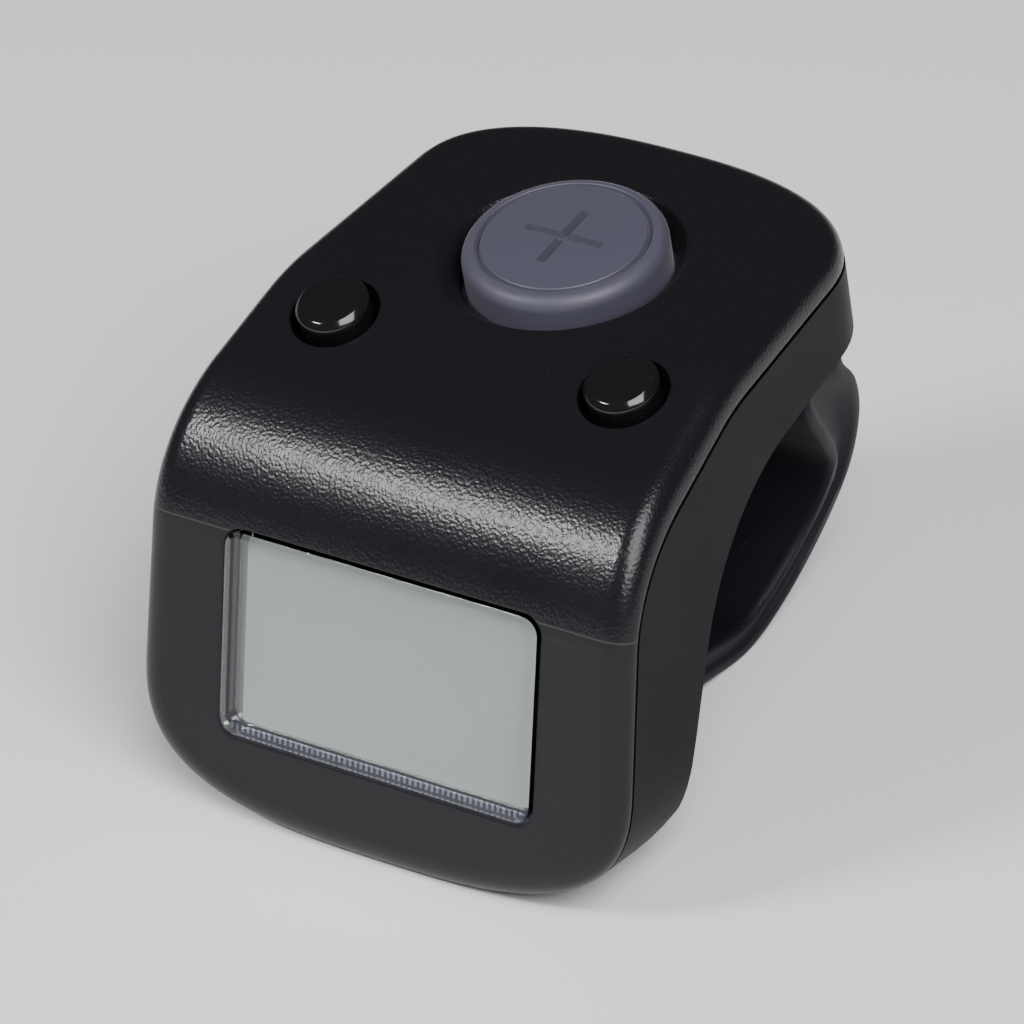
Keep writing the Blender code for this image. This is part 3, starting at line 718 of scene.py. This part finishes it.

# The front glass shows a ledge below the polariser, where the contact strip's stripes show through,
# and is darker down each side. These places are in metres on the face.
LEDGE_TOP = -0.01045
BAND_TOP = LEDGE_TOP - 0.00035
BAND_BOTTOM = -0.01135
CONTACT_PITCH = 0.00032
FADE = 0.00007
cell_glass = block("cell_front_glass", (-9.75, 9.75), (-12.0, 0.7), (-1.85, -1.43))
bevel_edges(cell_glass, lambda a, b: True, 0.05, 2)
glass_finish, tree, shader = new_material("cell_glass")
across, height = face_place(tree)
wave = maths(tree, "SINE", maths(tree, "MULTIPLY", across, 2.0 * math.pi / CONTACT_PITCH))
rib = ramp(tree, wave, -0.4, 0.4)
below = ramp(tree, height, BAND_TOP, BAND_TOP + FADE, 1.0, 0.0)
above = ramp(tree, height, BAND_BOTTOM, BAND_BOTTOM + FADE)
stripes = maths(tree, "MULTIPLY", rib, maths(tree, "MULTIPLY", below, above))
# The glass turns darker beyond about 8.5 mm from the middle, down each side.
inside_darker_sides = ramp(tree, maths(tree, "ABSOLUTE", across), 0.0084, 0.0087, 1.0, 0.0)
tone = blend(tree, inside_darker_sides, (0.006, 0.006, 0.008, 1.0), (0.060, 0.058, 0.064, 1.0))
above_ledge = ramp(tree, height, LEDGE_TOP, LEDGE_TOP + 0.00008)
ground = blend(tree, above_ledge, (0.008, 0.008, 0.012, 1.0), tone)
ribbed = blend(tree, stripes, ground, (0.075, 0.082, 0.125, 1.0))
tree.links.new(ribbed, shader.inputs["Base Color"])
shader.inputs["Roughness"].default_value = 0.12
seat(cell_glass, FACE, glass_finish, "case", "lcd_front_glass")

# The polariser is a film on the glass, a little greener towards its rim.
polariser = block("cell_polariser", (-8.20, 9.55), (-10.45, 0.45), (-1.43, -1.32))
bevel_edges(polariser, upright, 0.25, 4)
bevel_edges(polariser, ends_above(-1.33), 0.04, 2)
film_finish, tree, shader = new_material("polariser_film")
place = add_node(tree, "TexCoord").outputs["Object"]
across, height = face_place(tree)
near_side = ramp(tree, maths(tree, "ABSOLUTE", across), 0.0055, 0.0096)
off_middle = maths(tree, "ABSOLUTE", maths(tree, "ADD", height, 0.005))
near_end = ramp(tree, off_middle, 0.0025, 0.0056)
rim = maths(tree, "MAXIMUM", near_side, near_end)
drift = ramp(tree, noise(tree, place, 110.0, 2.0), 0.3, 0.7, 0.6, 1.0)
green = maths(tree, "MULTIPLY", rim, drift)
tint = blend(tree, green, (0.150, 0.159, 0.155, 1.0), (0.128, 0.156, 0.140, 1.0))
tree.links.new(tint, shader.inputs["Base Color"])
matte = ramp(tree, noise(tree, place, 6000.0, 2.0), 0.0, 1.0, 0.30, 0.42)
tree.links.new(matte, shader.inputs["Roughness"])
seat(polariser, FACE, film_finish, "case", "lcd_front_glass")


# Count button: one silicone cap with a wide foot under the cover's lip. Its crown is barely domed,
# with a rounded rim, a moulded ring groove and a plus sign for "count one up" sunk in the middle.
crown = [
    (0.8, 3.72), (0.8, 3.9), (6.1, 3.9), (6.1, 4.3), (5.2, 4.3), (5.2, 5.4), (5.2, 6.3),
    (5.17, 6.5), (5.08, 6.7), (4.95, 6.86), (4.78, 6.97), (4.6, 7.03), (4.50, 7.03),
    (4.45, 6.99), (4.42, 6.84), (4.37, 6.78), (4.26, 6.78), (4.21, 6.84), (4.18, 7.00),
    (4.13, 7.05), (4.0, 7.06), (3.4, 7.09), (2.6, 7.12), (1.7, 7.14), (0.8, 7.15),
]
button = round_tool("count_cap", crown, sides=144)
STROKE_REACH = 2.1
STROKE = 0.15
STROKE_DRAFT = 0.16
for x, y, low in ((STROKE_REACH, STROKE, 6.80), (STROKE, STROKE_REACH, 6.81)):
    stroke = block("stroke", (-x, x), (-y, y), (low, low + 0.5))
    pick_faces(stroke, facing_up)
    bpy.ops.transform.resize(value=(1.0 + STROKE_DRAFT / x, 1.0 + STROKE_DRAFT / y, 1.0))
    done()
    boolean(button, "DIFFERENCE", stroke)
silicone, _, shader, _ = moulded("slate_silicone", (0.060, 0.057, 0.083), 0.50, 7000.0, 0.10, 0.04)
shader.inputs["Sheen Weight"].default_value = 0.15
shader.inputs["Sheen Roughness"].default_value = 0.4
seat(button, COUNT, silicone, "count_button", "count_button", smooth=30.0)


# Reset and mode buttons: two turned caps moulded in polished black plastic, with a chamfered rim
# and a shallow finger dish. Each stands in a plain hole in the sloping deck, over its own switch.
cap = [
    (0.75, -2.3), (0.75, -1.75), (2.5, -1.75), (2.5, -1.45), (1.9, -1.45), (1.9, 0.3), (1.9, 0.45),
    (1.88, 0.55), (1.83, 0.63), (1.62, 0.82), (1.55, 0.87), (1.48, 0.89), (1.38, 0.88), (1.2, 0.85),
    (0.9, 0.81), (0.4, 0.78),
]
gloss = moulded("polished_black", (0.0065, 0.0065, 0.0075), 0.13, 2500.0, 0.02, 0.03)[0]
for tag, place in small_frames.items():
    small = round_tool(tag + "_cap", cap, sides=96)
    seat(small, place, gloss, tag + "_button", tag + "_button", smooth=30.0)


# Finger ring: a strap moulded in dark silicone, hooked by a T-shaped head at each end into slots in
# the inner shell. It is thick behind the finger and thin below it, and both edges carry an outer and
# an inner ridge with a groove between them. Each station is outer Y, Z, inner Y, Z and half width.
STATIONS = [
    (25.9, -0.40, 22.4, -0.40, 10.8),
    (26.6, -3.3, 22.9, -4.2, 10.2),
    (28.6, -6.1, 24.9, -7.7, 9.5),
    (29.7, -9.4, 26.6, -10.6, 8.7),
    (29.5, -13.0, 26.6, -13.0, 7.8),
    (27.4, -16.1, 25.1, -15.1, 7.0),
    (23.9, -18.3, 22.6, -16.6, 6.5),
    (20.2, -19.0, 20.0, -17.1, 6.3),
    (15.1, -17.6, 15.6, -15.7, 6.4),
    (8.5, -15.9, 9.0, -14.3, 6.8),
    (0.6, -14.9, 2.6, -13.35, 7.0),
]
RING_STEPS = 9


def smooth_run(rows, steps):
    """Catmull-Rom curve through rows of numbers."""
    ends = [rows[0], *rows, rows[-1]]
    run = []
    for a, b, c, d in zip(ends, ends[1:], ends[2:], ends[3:]):
        for i in range(steps):
            t = i / steps
            row = []
            for p, q, r, s in zip(a, b, c, d):
                curve = (2 * p - 5 * q + 4 * r - s) * t**2 + (3 * q - p - 3 * r + s) * t**3
                row.append(0.5 * (2 * q + (r - p) * t + curve))
            run.append(tuple(row))
    return run + [rows[-1]]


def strap_section(half, thick):
    """Section of the strap as (across, depth from the outer face): two ridges and a groove each side."""
    outer = min(0.95, 0.36 * thick)
    inner = thick - min(0.62, 0.27 * thick)
    groove = 0.22 + 0.24 * max(thick - 1.9, 0.0)
    slope = 0.30 * (inner - outer)
    lip = min(0.3, 0.15 * thick)
    side = [
        (half - 1.6 * lip, 0.0),
        (half - 0.7 * lip, 0.06 * lip),
        (half - 0.15 * lip, 0.45 * lip),
        (half, lip),
        (half, outer - 0.3 * slope),
        (half - 0.25 * groove, outer + 0.1 * slope),
        (half - 0.8 * groove, outer + 0.7 * slope),
        (half - groove, outer + 1.2 * slope),
        (half - groove, inner - 1.2 * slope),
        (half - 0.8 * groove, inner - 0.7 * slope),
        (half - 0.25 * groove, inner - 0.1 * slope),
        (half, inner + 0.2 * slope),
        (half, thick - lip),
        (half - 0.15 * lip, thick - 0.45 * lip),
        (half - 0.7 * lip, thick - 0.06 * lip),
        (half - 1.6 * lip, thick),
    ]
    return side + [(-x, depth) for x, depth in reversed(side)]


route = smooth_run(STATIONS, RING_STEPS)
SECTION_POINTS = len(strap_section(7.0, 2.0))
tube_length = len(route) - 1.0
bpy.ops.mesh.primitive_cylinder_add(
    vertices=SECTION_POINTS, radius=1.0, depth=tube_length, location=(0.0, 0.0, tube_length / 2.0)
)
strap = added("strap")
for place in range(1, len(route) - 1):
    pick_faces(strap)
    bpy.ops.mesh.bisect(plane_co=(0.0, 0.0, place), plane_no=(0.0, 0.0, 1.0))
    done()


def on_route(co):
    """Takes a point of the straight tube to its station on the route and its place in the section."""
    outer_y, outer_z, inner_y, inner_z, half = route[round(co.z)]
    thick = math.hypot(inner_y - outer_y, inner_z - outer_z)
    around = round(math.atan2(co.y, co.x) / (2.0 * math.pi) * SECTION_POINTS) % SECTION_POINTS
    x, depth = strap_section(half, thick)[around]
    share = depth / thick
    return x, outer_y + (inner_y - outer_y) * share, outer_z + (inner_z - outer_z) * share


slide(strap, on_route)
pick_faces(strap)
bpy.ops.mesh.normals_make_consistent(inside=False)
done()


def t_head(name, middle, stem, head, half):
    """T-shaped end of the strap: stem (half, from, to) and head (half, top), along X."""
    neck = block(name, (-half, half), (middle - stem[0], middle + stem[0]), (stem[1], stem[2] + 0.1))
    bar = block(name + "_bar", (-half, half), (middle - head[0], middle + head[0]), (stem[2], head[1]))
    bevel_edges(bar, lambda a, b: abs(a.x - b.x) > 1.0, 0.12, 3)
    return boolean(neck, "UNION", bar)


boolean(strap, "UNION", t_head("rear_tee", 24.8, (0.5, -1.2, 1.15), (1.4, 2.3), 7.6))
boolean(strap, "UNION", into(t_head("front_tee", 0.0, (0.42, -0.7, 1.5), (0.9, 1.98), 6.2), SOLE))
strap_finish, _, shader, _ = moulded("ring_silicone", (0.0065, 0.006, 0.0095), 0.55, 6000.0, 0.12, 0.05)
shader.inputs["Specular IOR Level"].default_value = 0.18
shader.inputs["Sheen Weight"].default_value = 0.05
shader.inputs["Sheen Roughness"].default_value = 0.35
seat(strap, CASE, strap_finish, "case", "finger_ring", smooth=40.0)


# Battery door: a flat cover moulded like the inner shell, set flush in a pocket in the arch's front
# wall, with its corners rounded and its outer edge broken. One small screw holds it.
door = block("door_panel", (-DOOR_HALF, DOOR_HALF), DOOR_Y, (-1.0, 0.0))
bevel_edges(door, upright, 0.85, 6)
bevel_edges(door, ends_above(-0.01), 0.16, 3)
recess = [(0.65, -2.0), (0.65, -0.55), (1.1, -0.55), (1.1, -0.1), (1.25, 0.1)]
boolean(door, "DIFFERENCE", round_tool("recess", recess, DOOR_SCREW, 40))
seat(door, DOOR, shell_finish, "battery_door", "battery_door")


# Screws: self-tapping, zinc-plated steel, with a pan head, a cross recess and a cut thread. Four hold
# the two shells together from inside the finger hole and below the arch; the smallest holds the door.
def metal_group():
    """Worked metal: fine lines one way, tarnish in soft patches, and their effect on the gloss."""
    tree, start, end = new_group(
        "worked_metal",
        [("Colour", "Color", (0.6, 0.6, 0.6, 1.0)), ("Roughness", "Float", 0.3), ("Lines", "Float", 9000.0)],
        [("Colour", "Color"), ("Roughness", "Float"), ("Normal", "Vector")],
    )
    place = add_node(tree, "TexCoord").outputs["Object"]
    drawn_out = add_node(tree, "Mapping", {"Vector": place, "Scale": (1.0, 0.03, 1.0)})
    lines = noise(tree, drawn_out.outputs[0], start.outputs["Lines"], 2.0)
    bump = add_node(tree, "Bump", {"Strength": 0.15, "Distance": 0.00003, "Height": lines})
    worn = ramp(tree, noise(tree, place, 900.0, 4.0), 0.4, 0.7)
    rough = maths(tree, "ADD", start.outputs["Roughness"], maths(tree, "MULTIPLY", worn, 0.12))
    dull = blend(tree, worn, start.outputs["Colour"], (0.94, 0.92, 0.89, 1.0), "MULTIPLY")
    tree.links.new(dull, end.inputs["Colour"])
    tree.links.new(rough, end.inputs["Roughness"])
    tree.links.new(bump.outputs["Normal"], end.inputs["Normal"])
    return tree


METAL = metal_group()


def metal(name, colour, roughness, lines=9000.0):
    """Material of a metal piece, with the scale of its fine lines."""
    values = {"Colour": (*colour, 1.0), "Roughness": roughness, "Lines": lines}
    material, _, shader, _ = surfaced(name, METAL, values)
    shader.inputs["Metallic"].default_value = 1.0
    return material


zinc = metal("zinc_plate", (0.62, 0.62, 0.64), 0.28)
THREAD_TURNS = 8
THREAD_ENDS = 0.6


def screw(name, matrix, centre, head, shank, body, node):
    """head is (radius, under, top) and shank is (radius, tip), along the axes' Z."""
    radius, under, top = head
    tall = abs(top - under)
    length = abs(shank[1] - under)
    core = shank[0] * 0.75
    pitch = (length - THREAD_ENDS) / THREAD_TURNS
    levels = [(0.12, -length), (core, -length + 0.35)]
    for i in range(THREAD_TURNS):
        root = -length + 0.4 + pitch * i
        levels += [(core, root), (shank[0], root + 0.45 * pitch)]
    levels += [(core, -0.15), (shank[0] * 0.8, 0.0), (radius, 0.0), (radius, 0.35 * tall)]
    levels += [(0.93 * radius, 0.75 * tall), (0.7 * radius, 0.95 * tall), (0.4 * radius, tall)]
    piece = round_tool(name, levels, sides=40)
    arm = 0.55 * radius
    slot = 0.15 * radius
    for x, y in ((arm, slot), (slot, arm)):
        boolean(piece, "DIFFERENCE", block("cross", (-x, x), (-y, y), (0.4 * tall, 2.0)))
    turn_over = Matrix.Identity(4) if top > under else Matrix.Rotation(math.pi, 4, "X")
    place = matrix @ Matrix.Translation((*centre, under)) @ turn_over
    return seat(piece, place, zinc, body, node, smooth=40.0, even=False)


for i, side in enumerate((-1.0, 1.0)):
    rear = on_side(REAR_SCREW, side)
    front = on_side(FRONT_SCREW, side)
    rear_node = f"case_screw_{i + 1}"
    front_node = f"case_screw_{i + 3}"
    screw(f"rear_screw_{i + 1}", CASE, rear, (1.15, 0.85, -0.1), (0.52, 4.4), "case", rear_node)
    screw(f"front_screw_{i + 1}", FACE, front, (1.0, -6.1, -7.0), (0.45, -1.9), "case", front_node)
screw("door_screw", DOOR, DOOR_SCREW, (0.95, -0.5, -0.02), (0.5, -2.7), "battery_door", "battery_door_screw")


# Inside: boards of glass-epoxy under a green mask, moulded switches with red plungers, a resin drop
# over the chip, a steel crystal can, fired capacitors, an amber ribbon, and the cell and its springs.
def clothe(material, *nodes):
    """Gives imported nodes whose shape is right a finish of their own."""
    for name in nodes:
        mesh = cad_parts[name].data
        mesh.materials.clear()
        mesh.materials.append(material)


def striped(name, first, second, pitch, roughness):
    """Even stripes across the frame's X."""
    material, tree, shader = new_material(name)
    place = add_node(tree, "TexCoord").outputs["Object"]
    across = add_node(tree, "SeparateXYZ", {0: place}).outputs["X"]
    wave = maths(tree, "SINE", maths(tree, "MULTIPLY", across, 2.0 * math.pi / pitch))
    stripes = blend(tree, ramp(tree, wave, -0.3, 0.3), (*first, 1.0), (*second, 1.0))
    tree.links.new(stripes, shader.inputs["Base Color"])
    shader.inputs["Roughness"].default_value = roughness
    return material


MASK_GREEN = (0.010, 0.115, 0.045)
board_finish, tree, shader, group = moulded("green_mask", MASK_GREEN, 0.30, 3000.0, 0.08, 0.10)
place = add_node(tree, "TexCoord").outputs["Object"]
track = add_node(tree, "TexBrick", {"Vector": place, "Scale": 520.0, "Mortar Size": 0.03})
track.inputs["Color1"].default_value = (*MASK_GREEN, 1.0)
track.inputs["Color2"].default_value = (0.012, 0.130, 0.052, 1.0)
track.inputs["Mortar"].default_value = (0.030, 0.220, 0.085, 1.0)
tree.links.new(track.outputs["Color"], group.inputs["Colour"])
clothe(board_finish, "main_board", "display_board")
clothe(striped("amber_ribbon", (0.42, 0.17, 0.03), (0.62, 0.30, 0.10), 0.0006, 0.3), "board_ribbon")
clothe(striped("contact_rubber", (0.02, 0.02, 0.02), (0.30, 0.30, 0.34), 0.0002, 0.7), "zebra_strip")
clothe(moulded("frame_black", (0.012, 0.012, 0.013), 0.6, 5000.0, 0.2)[0], "lcd_holder")
clothe(moulded("rear_glass_film", (0.40, 0.43, 0.41), 0.25, 900.0, 0.02)[0], "lcd_rear_glass")
clothe(moulded("chip_resin", (0.010, 0.010, 0.010), 0.22, 1200.0, 0.3)[0], "chip_coating")
clothe(moulded("fired_ceramic", (0.35, 0.25, 0.15), 0.6, 4000.0, 0.3)[0], "capacitor_1", "capacitor_2")
switch_black = moulded("switch_black", (0.02, 0.02, 0.02), 0.45, 5000.0, 0.2)[0]
plunger_red = moulded("plunger_red", (0.40, 0.03, 0.02), 0.4, 5000.0, 0.1)[0]
for tag in ("count", "reset", "mode"):
    clothe(switch_black, tag + "_switch")
    clothe(plunger_red, tag + "_switch_plunger")
clothe(metal("crystal_can", (0.70, 0.70, 0.68), 0.22), "clock_crystal")
clothe(metal("nickel_plate", (0.66, 0.64, 0.60), 0.20, 5000.0), "button_cell")
clothe(metal("spring_steel", (0.70, 0.66, 0.58), 0.25), "cell_contact_negative", "cell_contact_positive")


# Camera, floor and lights: a long lens looks down on the right front corner, over pale studio paper.
# A small key from the front left gives the highlight along the brow, a broad soft box on the right
# lights the deck and the side, and the surroundings are nearly dark.
LENS_LENGTH = 249.2
CAMERA_DISTANCE = 341.64
AIM_RIGHT = 6.347
AIM_UP = 2.887


def camera_axes(yaw, pitch, roll):
    """Right, up and back directions of the camera, in the case's axes."""
    back = Vector((math.sin(yaw) * math.cos(pitch), -math.cos(yaw) * math.cos(pitch), math.sin(pitch)))
    level = Vector((math.cos(yaw), math.sin(yaw), 0.0))
    plumb = back.cross(level)
    right = math.cos(roll) * level + math.sin(roll) * plumb
    up = math.cos(roll) * plumb - math.sin(roll) * level
    return right, up, back


right, up, back = camera_axes(math.radians(38.13), math.radians(38.34), math.radians(-9.80))
camera_data = bpy.data.cameras.new("camera")
camera_data.sensor_width = 36.0
camera_data.lens = LENS_LENGTH
camera_data.clip_start = 0.02
camera = bpy.data.objects.new("camera", camera_data)
bpy.context.scene.collection.objects.link(camera)
lean = Matrix.Rotation(LEAN, 3, "X")
turn = Matrix((lean @ right, lean @ up, lean @ back)).transposed().to_4x4()
place = CASE @ (CAMERA_DISTANCE * back + AIM_RIGHT * right + AIM_UP * up)
camera.matrix_world = Matrix.Translation(place) @ turn
bpy.context.scene.camera = camera


def area_light(name, towards, distance, size, power, colour):
    """Soft box that looks at the middle of the object from the given direction."""
    data = bpy.data.lights.new(name, "AREA")
    data.shape = "RECTANGLE"
    data.size, data.size_y = size
    data.energy = power
    data.color = colour
    light = bpy.data.objects.new(name, data)
    bpy.context.scene.collection.objects.link(light)
    middle = (cad_low + cad_high) / 2.0
    aim = Vector(towards).normalized()
    light.location = middle + aim * distance
    light.rotation_euler = aim.to_track_quat("Z", "Y").to_euler()


area_light("key", (-0.45, -0.62, 0.64), 0.40, (0.09, 0.05), 1.0, (0.97, 0.965, 1.0))
area_light("side", (0.60, -0.42, 0.75), 0.60, (0.40, 0.40), 5.5, (0.98, 0.975, 1.0))

world = bpy.data.worlds.new("studio")
world.use_nodes = True
sky = world.node_tree.nodes["Background"]
sky.inputs["Color"].default_value = (0.95, 0.96, 1.0, 1.0)
sky.inputs["Strength"].default_value = 0.08
bpy.context.scene.world = world

bpy.ops.mesh.primitive_plane_add(size=3.0, location=(0.0, 0.0, cad_low.z - 0.00002))
floor = added("floor")
floor_finish, tree, shader = new_material("floor_paper")
shader.inputs["Roughness"].default_value = 0.9
paper = add_node(tree, "TexNoise", {"Scale": 40.0, "Detail": 2.0}).outputs["Fac"]
tree.links.new(ramp(tree, paper, 0.0, 1.0, 0.86, 0.90), shader.inputs["Base Color"])
floor.data.materials.append(floor_finish)
floor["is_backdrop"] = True

low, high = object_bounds()
